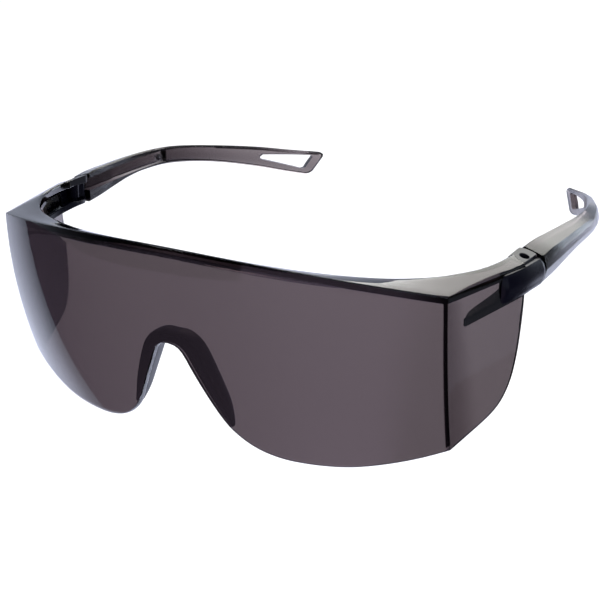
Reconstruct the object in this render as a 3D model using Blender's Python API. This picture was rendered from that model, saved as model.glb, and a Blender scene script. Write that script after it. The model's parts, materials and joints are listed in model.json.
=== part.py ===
"""Safety glasses: a one-piece tinted visor with a brow ledge, side shields and a nose rim,
and two folding temples whose length is set by a slider that runs in each temple's channel.

Metres, +Z up.  The wearer looks along -Y, so the lens is at -Y and the temple tips at +Y, and +X
is the wearer's left.  Shapes are written in a design frame in millimetres whose zero is the
middle of the line between the visor's two top front corners.  The finished model is moved so
that the origin is the bottom centre of its bounding box.
"""
import math

import bmesh
import bpy
from mathutils import Matrix, Vector

MM = 0.001

# Where the design frame's zero lies in the finished model, mm
DATUM_BACK = -55.75
DATUM_UP = 50.1

# Visor: the lens face and the side shields, mm
HALF_WIDTH = 71.0
LENS_SAG = 18.6
LENS_SAG_PER_DROP = 0.066
LENS_WRAP_POWER = 2.52
LENS_VERTICAL_RADIUS = 108.0
LENS_VERTICAL_CENTRE = 2.2
BROW_ARCH = 5.8
BROW_ARCH_POWER = 2.2
CORNER_DROP = 43.1
CORNER_TUCK = 2.0
SHIELD_SPLAY = 0.225
SHIELD_REAR = 29.1
SHIELD_RISE = 0.055
WALL = 2.2
CORNER_OFFSET = 1.3  # how much further in the inner corner lies than the wall's thickness, a ratio

# The shell is drawn past its edges, and cutters then trim it to the outlines below, mm
SKIRT_BOTTOM = -58.0
REAR_SURPLUS = 1.0
PATH_FRONT_STEPS = 40
PATH_SIDE_STEPS = 8

# Brow ledge, mm
LEDGE_THICKNESS = 2.6

# Nose rim behind the arch, mm
RIM_DEPTH = 5.0
RIM_END_DEPTH = 0.8
RIM_WIDTH = 3.2
RIM_EXTRA_WIDTH = 1.0
RIM_END_WIDTH_SHARE = 0.35
RIM_FLARE = 0.9
RIM_BITE = 0.9  # how far behind the lens face the rim starts, inside the wall

# Hinges, mm
PIN_X = 74.9
PIN_Y = 33.6
PIN_RADIUS = 1.0
PIN_CLEARANCE = 0.3
PIN_LOW = -5.2
PIN_HIGH = 1.7
EAR_RADIUS = 3.7
SHELF_TOP = -3.6
SHELF_THICKNESS = 1.9
POCKET_TOP = 1.2
POCKET_WALL_X = 76.9
EAR_INNER_X = 72.3
EAR_OUTER_X = 77.6
BLOCK_REAR = 37.8
BLOCK_BULGE = 0.8
KNUCKLE_GAP = 0.35
# Sections of the outer block, (y, inner x, outer x, top z, bottom z)
BLOCK_SECTIONS = [(19.8, 74.0, 75.3, 0.8, -6.4), (20.3, 74.1, 76.2, 1.05, -6.6),
                  (21.5, 74.4, 76.7, 1.15, -6.5), (24, 75.0, 77.3, 1.3, -6.3),
                  (29, 76.0, 78.0, 1.55, -6.0), (BLOCK_REAR, 76.2, 78.4, 1.9, -5.6)]
# Sections of the lower shelf, (y, inner x, outer x, inner bottom z, outer bottom z)
SHELF_SECTIONS = [(6.0, 70.6, 71.9, -8.9, -9.3), (10.0, 68.9, 72.4, -8.2, -9.0),
                  (22.6, 71.0, 75.3, -6.2, -7.5), (30.6, 71.2, 77.3, -5.0, -6.4),
                  (BLOCK_REAR - 0.2, 71.6, 77.4, -4.9, -5.7)]
# Sections of the upper ear, (y, inner top z, outer top z)
EAR_SECTIONS = [(28.2, 3.0, 1.3), (BLOCK_REAR, 3.6, 1.9)]
POCKET_FRONT = 30.6
CUTTER_REACH = 12.0

# Temples, mm
ARM_FRONT = 38.2
ARM_END = 129.55
TIP_SLANT = 4.6
SLIDER_GAP = 0.3
STRIP_THICKNESS = 1.2
STRIP_HEIGHT = 3.3
STRIP_END = 76.0
BUTTON_Y = 73.6
BUTTON_RADIUS = 1.25
BUTTON_HEIGHT = 1.55
BUTTON_STEM = 0.6
KNUCKLE_RADIUS = 1.75
HEEL_IN = -2.4
HEEL_LENGTH = 12.5


# ---------------------------------------------------------------- helpers

def lerp(a, b, t):
    return a + (b - a) * t


def catmull(points, steps):
    """Points on a smooth curve through the given ones, `steps` to each span."""
    rows = [Vector(p) for p in points]
    rows = [rows[0] * 2 - rows[1]] + rows + [rows[-1] * 2 - rows[-2]]
    out = []
    for k in range(1, len(rows) - 2):
        a, b, c, d = rows[k - 1:k + 3]
        for i in range(steps):
            t = i / steps
            out.append(0.5 * ((2 * b) + (c - a) * t + (2 * a - 5 * b + 4 * c - d) * t * t
                              + (3 * b - a - 3 * c + d) * t ** 3))
    out.append(rows[-2])
    return out


def along(table, y):
    """Value at y of a piecewise cubic through (y, value) pairs."""
    if y <= table[0][0]:
        return table[0][1]
    if y >= table[-1][0]:
        return table[-1][1]
    for k in range(len(table) - 1):
        y0, v0 = table[k]
        y1, v1 = table[k + 1]
        if y <= y1:
            before = table[max(k - 1, 0)]
            after = table[min(k + 2, len(table) - 1)]
            m0 = (v1 - before[1]) / (y1 - before[0])
            m1 = (after[1] - v0) / (after[0] - y0)
            t = (y - y0) / (y1 - y0)
            span = y1 - y0
            return ((2 * t ** 3 - 3 * t * t + 1) * v0 + (t ** 3 - 2 * t * t + t) * span * m0
                    + (3 * t * t - 2 * t ** 3) * v1 + (t ** 3 - t * t) * span * m1)


def mesh_object(name, bm):
    """A scene object from a bmesh drawn in design millimetres, with outward faces."""
    bmesh.ops.recalc_face_normals(bm, faces=bm.faces)
    bmesh.ops.transform(bm, matrix=Matrix.Scale(MM, 4), verts=bm.verts)
    mesh = bpy.data.meshes.new(name)
    bm.to_mesh(mesh)
    bm.free()
    obj = bpy.data.objects.new(name, mesh)
    bpy.context.scene.collection.objects.link(obj)
    return obj


def loft(bm, rings):
    """Skin a list of equal-length closed rings of points and cap both ends."""
    loops = [[bm.verts.new(p) for p in ring] for ring in rings]
    count = len(loops[0])
    for a, b in zip(loops, loops[1:]):
        for i in range(count):
            j = (i + 1) % count
            bm.faces.new((a[i], a[j], b[j], b[i]))
    bm.faces.new(list(reversed(loops[0])))
    bm.faces.new(loops[-1])


def loft_object(name, rings):
    bm = bmesh.new()
    loft(bm, rings)
    return mesh_object(name, bm)


def prism(bm, outline, direction):
    """Extrude a closed outline of points along a vector."""
    shift = Vector(direction)
    loft(bm, [[Vector(p) for p in outline], [Vector(p) + shift for p in outline]])


def cylinder(name, centre, radius, z_low, z_high, sides=24):
    """An upright cylinder about a centre (x, y)."""
    ring = [(centre[0] + radius * math.cos(2 * math.pi * k / sides),
             centre[1] + radius * math.sin(2 * math.pi * k / sides), z_low) for k in range(sides)]
    bm = bmesh.new()
    prism(bm, ring, (0, 0, z_high - z_low))
    return mesh_object(name, bm)


def combine(target, tool, operation):
    """Boolean that is applied at once; the tool object is removed."""
    modifier = target.modifiers.new(operation.lower(), 'BOOLEAN')
    modifier.operation = operation
    modifier.solver = 'EXACT'
    modifier.object = tool
    bpy.context.view_layer.update()
    evaluated = target.evaluated_get(bpy.context.evaluated_depsgraph_get())
    mesh = bpy.data.meshes.new_from_object(evaluated)
    target.modifiers.remove(modifier)
    target.data = mesh
    bpy.data.objects.remove(tool)


def clean(obj):
    """Merge doubled points and dissolve slivers that a Boolean leaves."""
    bm = bmesh.new()
    bm.from_mesh(obj.data)
    bmesh.ops.remove_doubles(bm, verts=bm.verts, dist=0.00001)
    bmesh.ops.dissolve_degenerate(bm, edges=bm.edges, dist=0.00001)
    bmesh.ops.triangulate(bm, faces=bm.faces)
    bm.to_mesh(obj.data)
    bm.free()


def mirror_copy(obj, name):
    """The same piece for the wearer's other side."""
    copy = bpy.data.objects.new(name, obj.data.copy())
    copy.data.transform(Matrix.Scale(-1, 4, Vector((1, 0, 0))))
    copy.data.flip_normals()
    bpy.context.scene.collection.objects.link(copy)
    return copy


def finish(obj, material):
    obj.data.materials.clear()
    obj.data.materials.append(material)
    obj.data.shade_smooth()
    obj.data.set_sharp_from_angle(angle=math.radians(35))


def plastic(name, colour, roughness, alpha=1.0):
    material = bpy.data.materials.new(name)
    material.use_nodes = True
    shader = material.node_tree.nodes["Principled BSDF"]
    shader.inputs["Base Color"].default_value = (*colour, 1.0)
    shader.inputs["Roughness"].default_value = roughness
    shader.inputs["Metallic"].default_value = 0.0
    shader.inputs["Alpha"].default_value = alpha
    return material


# ---------------------------------------------------------------- the visor's surfaces

def corner_x(z):
    """Half width of the lens face at a height: the corner line tucks in towards the bottom."""
    return HALF_WIDTH - CORNER_TUCK * (z / CORNER_DROP) ** 2


def lens_y(x, z):
    """The lens face's outer surface: wrapped from side to side and curved from top to bottom."""
    sag = LENS_SAG - LENS_SAG_PER_DROP * z
    wrap = -sag * (1 - (abs(x) / HALF_WIDTH) ** LENS_WRAP_POWER)
    bulge = (z - LENS_VERTICAL_CENTRE) ** 2 - LENS_VERTICAL_CENTRE ** 2
    return wrap + bulge / (2 * LENS_VERTICAL_RADIUS)


def brow_z(x):
    return BROW_ARCH * (1 - (abs(x) / HALF_WIDTH) ** BROW_ARCH_POWER)


def shield_point(y, z):
    """A side shield's outer surface, on the wearer's left."""
    x_front = corner_x(z)
    y_front = lens_y(x_front, z)
    return Vector((x_front + SHIELD_SPLAY * (y - y_front), y, z))


def wall_point(station, z_fraction):
    """A point of the outer wall.  Station -1..1 crosses the face, past 1 runs along the side."""
    side = math.copysign(1, station)
    u = abs(station)
    if u <= 1:
        top = brow_z(u * HALF_WIDTH)
        z = lerp(top, SKIRT_BOTTOM, z_fraction)
        x = u * corner_x(z)
        return Vector((side * x, lens_y(x, z), z))
    rear = SHIELD_REAR + REAR_SURPLUS
    z = lerp(SHIELD_RISE * (u - 1) * rear, SKIRT_BOTTOM, z_fraction)
    y_front = lens_y(corner_x(z), z)
    point = shield_point(lerp(y_front, rear, u - 1), z)
    return Vector((side * point.x, point.y, point.z))


def wall_normal(station, z_fraction):
    """Outward normal of the outer wall, blended over the corner."""
    e = 0.01
    if abs(abs(station) - 1) < e:
        side = math.copysign(1, station)
        return (wall_normal(side * (1 - 2 * e), z_fraction)
                + wall_normal(side * (1 + 2 * e), z_fraction)).normalized()
    across = wall_point(station + e, z_fraction) - wall_point(station - e, z_fraction)
    down = wall_point(station, z_fraction + e) - wall_point(station, z_fraction - e)
    return down.cross(across).normalized()


# The ledge's inner edge in plan: mate of each station of the outer path, (x, y, z)
LEDGE_INNER = [(0, -14.9, 4.6), (18, -13.6, 4.1), (34, -9.2, 3.0), (45, -5.0, 2.4), (55, -0.4, 2.3),
               (62, 5.0, 2.4), (67.3, 11.5, 2.7), (70.6, 18, 2.9), (72.1, 24.5, 3.2), (72.3, 31, 3.45)]
LEDGE_INNER_STATION = [0, 0.25, 0.46, 0.6, 0.75, 0.9, 1.1, 1.38, 1.66, 2.0]


def ledge_inner(station):
    u = abs(station)
    values = [along([(s, p[axis]) for s, p in zip(LEDGE_INNER_STATION, LEDGE_INNER)], u)
              for axis in range(3)]
    return Vector((math.copysign(1, station) * values[0], values[1], values[2]))


# Bottom outline of the lens face in front view, from the nose apex to the corner, (x, z)
ARCH_OUTLINE = [(0, -20.4), (2.6, -20.9), (4.7, -22.8), (6.5, -26.3), (8.8, -30.8), (11.6, -36.2),
                (13.3, -39.3), (15.1, -42.1)]
LOBE_OUTLINE = [(17.4, -44.5), (20.5, -46.8), (24.5, -48.6), (30, -49.8), (38, -50.1),
                (46, -49.6), (54, -48.0), (62, -45.7), (69, -43.1)]

# Rear outline of a side shield in side view, from the corner's bottom up, (y, z)
SHIELD_OUTLINE = [(8.0, -43.1), (15.6, -40.0), (21.5, -37.4), (25.2, -34.4), (27.6, -29.5),
                  (28.7, -23), (SHIELD_REAR, -14)]


def visor_shell():
    """Face, both side shields and the ledge as one skin of L-shaped sections."""
    stations = [-2 + k / PATH_SIDE_STEPS for k in range(PATH_SIDE_STEPS)]
    stations += [-1 + 2 * k / PATH_FRONT_STEPS for k in range(PATH_FRONT_STEPS + 1)]
    stations += [1 + (k + 1) / PATH_SIDE_STEPS for k in range(PATH_SIDE_STEPS)]
    levels = [0, 0.1, 0.25, 0.42, 0.6, 0.8, 1]
    rings = []
    for station in stations:
        at_corner = abs(abs(station) - 1) < 0.001
        step = WALL * CORNER_OFFSET if at_corner else WALL
        outer = [wall_point(station, t) for t in levels]
        inner = [point - wall_normal(station, t) * step for t, point in zip(levels, outer)]
        lip = ledge_inner(station)
        lip_under = lip - Vector((0, 0, LEDGE_THICKNESS))
        share = LEDGE_THICKNESS / (outer[0].z - SKIRT_BOTTOM)
        root_z = (wall_point(station, share) - wall_normal(station, share) * WALL).z
        root = Vector((inner[0].x, inner[0].y, root_z))
        ledge = [outer[0].lerp(lip, 0.5), lip, lip_under, root.lerp(lip_under, 0.5), root]
        rings.append(outer[::-1] + ledge + inner[1:])
    return loft_object("visor", rings)


def face_cutter():
    """Removes what lies under the lobes and inside the nose arch."""
    half = [(p.x, p.y) for p in catmull([(*p, 0) for p in ARCH_OUTLINE + LOBE_OUTLINE], 2)]
    left = [(-x, z) for x, z in reversed(half[1:])]
    outline = [(-69, -70)] + left + half + [(69, -70)]
    bm = bmesh.new()
    prism(bm, [(x, -40, z) for x, z in outline], (0, 90, 0))
    return mesh_object("face_cutter", bm)


def shield_cutter():
    """Removes what lies under and behind both side shields."""
    curve = [(p.x, p.y) for p in catmull([(*p, 0) for p in SHIELD_OUTLINE], 3)]
    outline = [(curve[0][0], -70)] + curve + [(SHIELD_REAR, 12), (60, 12), (60, -70)]
    bm = bmesh.new()
    prism(bm, [(-100, y, z) for y, z in outline], (200, 0, 0))
    return mesh_object("shield_cutter", bm)


def nose_rim():
    """The thick rim behind the arch that rests on the nose."""
    path = catmull([(*p, 0) for p in ARCH_OUTLINE], 2)
    half = [(p.x, p.y, k / (len(path) - 1)) for k, p in enumerate(path)]
    full = [(-x, z, share) for x, z, share in half[:0:-1]] + half
    rings = []
    for k, (x, z, share) in enumerate(full):
        before = full[max(k - 1, 0)]
        after = full[min(k + 1, len(full) - 1)]
        tangent = Vector((after[0] - before[0], after[1] - before[1], 0)).normalized()
        fade = 1 - share ** 4
        width = RIM_WIDTH + RIM_EXTRA_WIDTH * math.sin(math.pi * min(share * 1.3, 1))
        width *= lerp(RIM_END_WIDTH_SHARE, 1, fade)
        flare = RIM_FLARE * fade
        front = lens_y(x, z) + RIM_BITE
        back = lens_y(x, z) + WALL + lerp(RIM_END_DEPTH, RIM_DEPTH, fade)
        shape = [(0.12, front), (width, front + 0.2), (width + 0.2, back - 1.0), (width - 0.7, back),
                 (flare + 0.5, back), (flare, back - 0.8)]
        rings.append([Vector((x - tangent.y * out, y, z + tangent.x * out)) for out, y in shape])
    return loft_object("nose_rim", rings)


def hinge_block():
    """Outer wall of a hinge, proud of the shield, on the wearer's left."""
    rings = []
    for y, x_in, x_out, top, bottom in BLOCK_SECTIONS:
        middle = (top + bottom) / 2
        shape = [(x_in, top), (x_out - 0.5, top), (x_out, top - 0.6), (x_out + BLOCK_BULGE, middle),
                 (x_out, bottom + 0.6), (x_out - 0.6, bottom), (x_in, bottom)]
        rings.append([Vector((x, y, z)) for x, z in shape])
    return loft_object("hinge_block", rings)


def hinge_ear():
    """Upper ear: a plate behind the ledge whose top slopes outwards like the ledge's."""
    rings = []
    for y, top_in, top_out in EAR_SECTIONS:
        shape = [(EAR_INNER_X, top_in), (EAR_OUTER_X, top_out), (EAR_OUTER_X, POCKET_TOP),
                 (EAR_INNER_X, POCKET_TOP)]
        rings.append([Vector((x, y, z)) for x, z in shape])
    return loft_object("hinge_ear", rings)


def hinge_shelf():
    """Lower ear of a hinge: a shelf along the shield's inner side that slopes outwards."""
    rings = []
    for y, x_in, x_out, bottom_in, bottom_out in SHELF_SECTIONS:
        shape = [(x_in, bottom_in), (x_out, bottom_out),
                 (x_out, bottom_out + SHELF_THICKNESS), (x_in, bottom_in + SHELF_THICKNESS)]
        rings.append([Vector((x, y, z)) for x, z in shape])
    return loft_object("hinge_shelf", rings)


def knuckle_pocket():
    """Cutter for the space between the ears that the slider's knuckle turns in."""
    inner, rear = POCKET_WALL_X - CUTTER_REACH, BLOCK_REAR + CUTTER_REACH
    outline = [(inner, POCKET_FRONT), (POCKET_WALL_X, POCKET_FRONT), (POCKET_WALL_X, rear), (inner, rear)]
    bm = bmesh.new()
    prism(bm, [(x, y, SHELF_TOP) for x, y in outline], (0, 0, POCKET_TOP - SHELF_TOP))
    return mesh_object("knuckle_pocket", bm)


def ear_rounding():
    """Cutter that rounds the ear's inner rear corner about the pin."""
    corner = (PIN_X - 8, BLOCK_REAR + 4)
    outline = [(PIN_X, BLOCK_REAR + 4), corner, (PIN_X - 8, PIN_Y)]
    for k in range(12, 5, -1):
        a = k * math.pi / 12
        outline.append((PIN_X + EAR_RADIUS * math.cos(a), PIN_Y + EAR_RADIUS * math.sin(a)))
    outline.append((PIN_X, PIN_Y + EAR_RADIUS))
    bm = bmesh.new()
    prism(bm, [(x, y, -20) for x, y in outline], (0, 0, 40))
    return mesh_object("ear_rounding", bm)


def mirrored(tool):
    return mirror_copy(tool, tool.name + "_mirrored")


def build_visor():
    visor = visor_shell()
    for cutter in (shield_cutter(), face_cutter()):
        combine(visor, cutter, 'DIFFERENCE')
    combine(visor, nose_rim(), 'UNION')
    for make in (hinge_block, hinge_shelf, hinge_ear):
        tool = make()
        twin = mirrored(tool)
        combine(visor, tool, 'UNION')
        combine(visor, twin, 'UNION')
    for make in (ear_rounding, knuckle_pocket):
        tool = make()
        twin = mirrored(tool)
        combine(visor, tool, 'DIFFERENCE')
        combine(visor, twin, 'DIFFERENCE')
    for side in (1, -1):
        hole = cylinder("pin_hole", (side * PIN_X, PIN_Y), PIN_RADIUS + PIN_CLEARANCE, -CUTTER_REACH,
                        CUTTER_REACH)
        combine(visor, hole, 'DIFFERENCE')
    clean(visor)
    return visor


# ---------------------------------------------------------------- slider and temple

# The temple's centre strip runs along this direction and the temple slides along it
SLIDE_AXIS = Vector((-0.02, 1.0, 0.04)).normalized()
STRIP_ORIGIN = Vector((75.3, ARM_FRONT, 0.3))

# Temple shape by y: inner face x, top edge z, bottom edge z, thickness
ARM_INNER_X = [(38, 72.2), (44, 72.6), (51, 73.1), (65, 73.6), (76, 72.6), (86, 69.6), (98, 64.7),
               (110, 59.1), (120, 52.8), (130, 44.3)]
ARM_TOP_Z = [(38, 3.6), (43, 4.3), (50, 4.6), (65, 4.9), (80, 4.4), (95, 2.5), (110, 0.0), (120, -2.1), (130, -3.9)]
ARM_BOTTOM_Z = [(38, -5.3), (44, -4.5), (50, -3.4), (58, -2.0), (66, -1.2), (80, -1.1), (95, -3.1),
                (110, -6.8), (120, -9.9), (130, -12.6)]
ARM_THICKNESS = [(38, 6.3), (44, 5.9), (51, 5.3), (65, 4.2), (80, 3.5), (92, 2.8), (104, 2.3), (130, 1.9)]
ARM_STATIONS = [ARM_FRONT, 42, 46, 50, 55, 60, 65, 70, 75, 80, 86, 92, 98, 104, 110, 115, 120, ARM_END]
ARM_BULGE = 1.12  # how far the outer side's middle stands out, a ratio
STRAIGHT_TO = 62.0  # ahead of this y the sections stay parallel, so the front end is square

# The tip window's outline, (y, z)
WINDOW_OUTLINE = [(110.6, -3.4), (111.5, -2.8), (125.6, -4.4), (126.2, -5.1), (124.2, -8.8), (123.4, -9.0),
                  (111.3, -4.5), (110.6, -4.0)]


def arm_directions(y):
    """The temple's own run at y, level, and the outward direction square to it."""
    y = max(y, STRAIGHT_TO)
    run = Vector((along(ARM_INNER_X, y + 0.5) - along(ARM_INNER_X, y - 0.5), 1, 0)).normalized()
    return run, Vector((run.y, -run.x, 0))


def arm_ring(y):
    """Section of a temple: sloped top, bulged outer side, square to the temple's own run."""
    out = arm_directions(y)[1]
    thick = along(ARM_THICKNESS, y)
    top = along(ARM_TOP_Z, y)
    bottom = along(ARM_BOTTOM_Z, y)
    slope = lerp(1.7, 0.7, min(max((y - ARM_FRONT) / 50, 0), 1))
    base = Vector((along(ARM_INNER_X, y), y, 0))
    shape = [(0, bottom + 0.4), (0, top - 0.4), (0.5, top), (thick - 0.4, top - slope),
             (thick, top - slope - 0.6), (thick * ARM_BULGE, (top - slope + bottom) / 2),
             (thick - 0.1, bottom + 0.5), (thick - 0.7, bottom), (0.5, bottom)]
    return [base + out * a + Vector((0, 0, z)) for a, z in shape]


def arm_body():
    """The solid temple; the tip's end slants, so that its top reaches further back."""
    rings = [arm_ring(y) for y in ARM_STATIONS]
    low_end = arm_ring(ARM_END - TIP_SLANT)
    bottom, top = low_end[-1].z, low_end[2].z
    rings[-1] = [low.lerp(high, min(max((low.z - bottom) / (top - bottom), 0), 1))
                 for low, high in zip(low_end, rings[-1])]
    return loft_object("left_temple", rings)


def slide_frame(distance, across=0.0, up=0.0):
    side = SLIDE_AXIS.cross(Vector((0, 0, 1))).normalized()
    rise = side.cross(SLIDE_AXIS)
    return STRIP_ORIGIN + SLIDE_AXIS * distance + side * across + rise * up


def strip_box(name, start, end, inner, outer, half_height):
    """A bar along the slide axis, from inner to outer across and centred in height."""
    ring = [(inner, -half_height), (outer, -half_height), (outer, half_height), (inner, half_height)]
    return loft_object(name, [[slide_frame(d, a, b) for a, b in ring] for d in (start, end)])


STRIP_LENGTH = STRIP_END - ARM_FRONT
STRIP_HALF = STRIP_HEIGHT / 2
STRIP_IN = -STRIP_THICKNESS / 2
STRIP_OUT = STRIP_THICKNESS / 2
CHANNEL_SURPLUS = 0.6


def window_cutter():
    """A prism through the temple's tip, square to its run there."""
    inner = [Vector((along(ARM_INNER_X, y), y, z)) for y, z in WINDOW_OUTLINE]
    out = arm_directions((WINDOW_OUTLINE[0][0] + WINDOW_OUTLINE[3][0]) / 2)[1]
    return loft_object("window", [[p + out * reach for p in inner]
                                  for reach in (-CUTTER_REACH / 2, CUTTER_REACH)])


def build_temple():
    """A temple with its channel and its tip window."""
    arm = arm_body()
    channel = strip_box("channel", -CUTTER_REACH, STRIP_LENGTH + CHANNEL_SURPLUS, -CUTTER_REACH,
                        STRIP_OUT + SLIDER_GAP, STRIP_HALF + SLIDER_GAP)
    combine(arm, channel, 'DIFFERENCE')
    combine(arm, window_cutter(), 'DIFFERENCE')
    clean(arm)
    return arm


def knuckle():
    """The slider's round end about the pin, with its cheek back to the temple's front."""
    top = POCKET_TOP - KNUCKLE_GAP
    bottom = SHELF_TOP + KNUCKLE_GAP
    rear = ARM_FRONT - 0.5
    arc = [math.radians(150 + 15 * k) for k in range(14)]
    outline = [(PIN_X + KNUCKLE_RADIUS * math.cos(a), PIN_Y + KNUCKLE_RADIUS * math.sin(a)) for a in arc]
    outline += [(PIN_X + 1.5, PIN_Y + 1.5), (PIN_X + 1.5, rear), (PIN_X - 0.9, rear),
                (PIN_X - 2.0, PIN_Y + 2.6)]
    bm = bmesh.new()
    prism(bm, [(x, y, bottom) for x, y in outline], (0, 0, top - bottom))
    return mesh_object("left_slider", bm)


def heel():
    """Wedge that fills the channel's mouth behind the knuckle and thins to the strip."""
    sections = [(0.0, HEEL_IN), (HEEL_LENGTH, STRIP_IN - 0.15)]
    rings = []
    for distance, inner in sections:
        ring = [(inner, -STRIP_HALF), (0, -STRIP_HALF), (0, STRIP_HALF), (inner, STRIP_HALF)]
        rings.append([slide_frame(distance, across, up) for across, up in ring])
    return loft_object("heel", rings)


def build_slider():
    """Knuckle on the pin and the flat strip that runs in the temple's channel."""
    slider = knuckle()
    combine(slider, heel(), 'UNION')
    combine(slider, strip_box("neck", -3.0, 2.0, STRIP_IN, STRIP_OUT, 0.45), 'UNION')
    combine(slider, strip_box("strip", -0.2, STRIP_LENGTH, STRIP_IN, STRIP_OUT, STRIP_HALF), 'UNION')
    bore = cylinder("bore", (PIN_X, PIN_Y), PIN_RADIUS + PIN_CLEARANCE, -CUTTER_REACH, CUTTER_REACH)
    combine(slider, bore, 'DIFFERENCE')
    hole_radius = BUTTON_STEM + SLIDER_GAP
    hole = button_turning("button_hole", [(-CUTTER_REACH, hole_radius), (CUTTER_REACH, hole_radius)])
    combine(slider, hole, 'DIFFERENCE')
    clean(slider)
    return slider


def button_turning(name, profile, sides=20):
    """A turned shape across the strip at the button, from (distance across, radius) pairs."""
    middle = BUTTON_Y - ARM_FRONT
    angles = [2 * math.pi * k / sides for k in range(sides)]
    rings = [[slide_frame(middle + radius * math.cos(a), across, radius * math.sin(a)) for a in angles]
             for across, radius in profile]
    return loft_object(name, rings)


def build_button():
    """Stop button: a head on the wearer's side of the strip and a stem through it."""
    face = STRIP_IN - SLIDER_GAP
    return button_turning("left_stop_button", [(-BUTTON_HEIGHT, BUTTON_RADIUS), (face, BUTTON_RADIUS),
                                               (face, BUTTON_STEM), (STRIP_OUT - 0.1, BUTTON_STEM)])


def build_pin():
    """Upright pin through both ears and the knuckle, sunk in the upper ear."""
    return cylinder("left_hinge_pin", (PIN_X, PIN_Y), PIN_RADIUS, PIN_LOW, PIN_HIGH)


# ---------------------------------------------------------------- assembly

def place(obj, shift, origin):
    """Move a piece into the finished model's frame and set its own origin."""
    obj.data.transform(Matrix.Translation(shift - origin))
    obj.location = origin


def main():
    for obj in list(bpy.data.objects):
        bpy.data.objects.remove(obj, do_unlink=True)
    smoke = plastic("smoke_polycarbonate", (0.09, 0.075, 0.08), 0.08, 0.6)
    arm_smoke = plastic("smoke_temple", (0.12, 0.115, 0.125), 0.22)
    dark = plastic("dark_nylon", (0.03, 0.03, 0.035), 0.35)
    steel = plastic("pin_steel", (0.3, 0.3, 0.3), 0.35)

    shift = Vector((0, DATUM_BACK, DATUM_UP)) * MM
    pin_axis = Vector((PIN_X, PIN_Y + DATUM_BACK, DATUM_UP)) * MM
    visor = build_visor()
    finish(visor, smoke)
    place(visor, shift, Vector((0, 0, 0)))
    for make, material in ((build_temple, arm_smoke), (build_slider, dark), (build_button, dark),
                           (build_pin, steel)):
        piece = make()
        twin = mirror_copy(piece, piece.name.replace("left_", "right_"))
        for obj, side in ((piece, 1), (twin, -1)):
            finish(obj, material)
            place(obj, shift, Vector((side * pin_axis.x, pin_axis.y, pin_axis.z)))


main()
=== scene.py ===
"""Safety glasses: the looks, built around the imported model."""
import json
import math

import bmesh
import bpy
from mathutils import Matrix, Vector


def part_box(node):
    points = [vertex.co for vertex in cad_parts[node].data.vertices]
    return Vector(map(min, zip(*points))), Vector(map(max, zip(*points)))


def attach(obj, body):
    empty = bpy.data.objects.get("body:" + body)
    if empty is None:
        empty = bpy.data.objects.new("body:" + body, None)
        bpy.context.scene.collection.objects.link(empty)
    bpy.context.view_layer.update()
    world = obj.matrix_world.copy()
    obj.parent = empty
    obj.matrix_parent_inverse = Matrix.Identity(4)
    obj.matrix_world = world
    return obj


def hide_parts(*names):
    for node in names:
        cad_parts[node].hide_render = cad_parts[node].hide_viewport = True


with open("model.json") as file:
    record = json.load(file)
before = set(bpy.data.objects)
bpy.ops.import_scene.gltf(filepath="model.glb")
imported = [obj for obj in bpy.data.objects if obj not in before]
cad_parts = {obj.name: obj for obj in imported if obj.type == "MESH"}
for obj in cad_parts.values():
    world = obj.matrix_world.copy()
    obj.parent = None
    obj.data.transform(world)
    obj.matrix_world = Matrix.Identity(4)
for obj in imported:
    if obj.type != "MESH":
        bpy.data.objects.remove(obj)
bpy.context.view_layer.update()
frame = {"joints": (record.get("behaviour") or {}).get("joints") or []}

MM = 0.001

# ------------------------------------------------------------------ the design frame
# Shapes are written in millimetres from the middle of the line between the visor's two top
# front corners.  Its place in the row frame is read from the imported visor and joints.

BROW_ARCH = 5.8
HALF_WIDTH = 71.0
LENS_SAG = 18.6

VISOR_LOW, VISOR_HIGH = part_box("visor")
DATUM = Vector((0, VISOR_LOW.y / MM + 18.62, VISOR_HIGH.z / MM - BROW_ARCH))
JOINTS = {joint["name"]: joint for joint in frame["joints"]}
PIN_X = JOINTS["left_fold"]["pos_m"][0] / MM
PIN_Y = JOINTS["left_fold"]["pos_m"][1] / MM - DATUM.y


# ------------------------------------------------------------------ small tools

def lerp(a, b, t):
    return a + (b - a) * t


def clamp(value, low=0.0, high=1.0):
    return min(max(value, low), high)


def smooth(value):
    t = clamp(value)
    return t * t * (3 - 2 * t)


def catmull(points, steps):
    """Points on a smooth curve through the given ones, `steps` to each span."""
    rows = [Vector(p) for p in points]
    rows = [rows[0] * 2 - rows[1]] + rows + [rows[-1] * 2 - rows[-2]]
    out = []
    for k in range(1, len(rows) - 2):
        a, b, c, d = rows[k - 1:k + 3]
        for i in range(steps):
            t = i / steps
            out.append(0.5 * ((2 * b) + (c - a) * t + (2 * a - 5 * b + 4 * c - d) * t * t
                              + (3 * b - a - 3 * c + d) * t ** 3))
    out.append(rows[-2])
    return out


def along(table, y):
    """Value at y of a piecewise cubic through (y, value) pairs."""
    if y <= table[0][0]:
        return table[0][1]
    if y >= table[-1][0]:
        return table[-1][1]
    for k in range(len(table) - 1):
        y0, v0 = table[k]
        y1, v1 = table[k + 1]
        if y <= y1:
            before = table[max(k - 1, 0)]
            after = table[min(k + 2, len(table) - 1)]
            m0 = (v1 - before[1]) / (y1 - before[0])
            m1 = (after[1] - v0) / (after[0] - y0)
            t = (y - y0) / (y1 - y0)
            span = y1 - y0
            return ((2 * t ** 3 - 3 * t * t + 1) * v0 + (t ** 3 - 2 * t * t + t) * span * m0
                    + (3 * t * t - 2 * t ** 3) * v1 + (t ** 3 - t * t) * span * m1)


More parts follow.
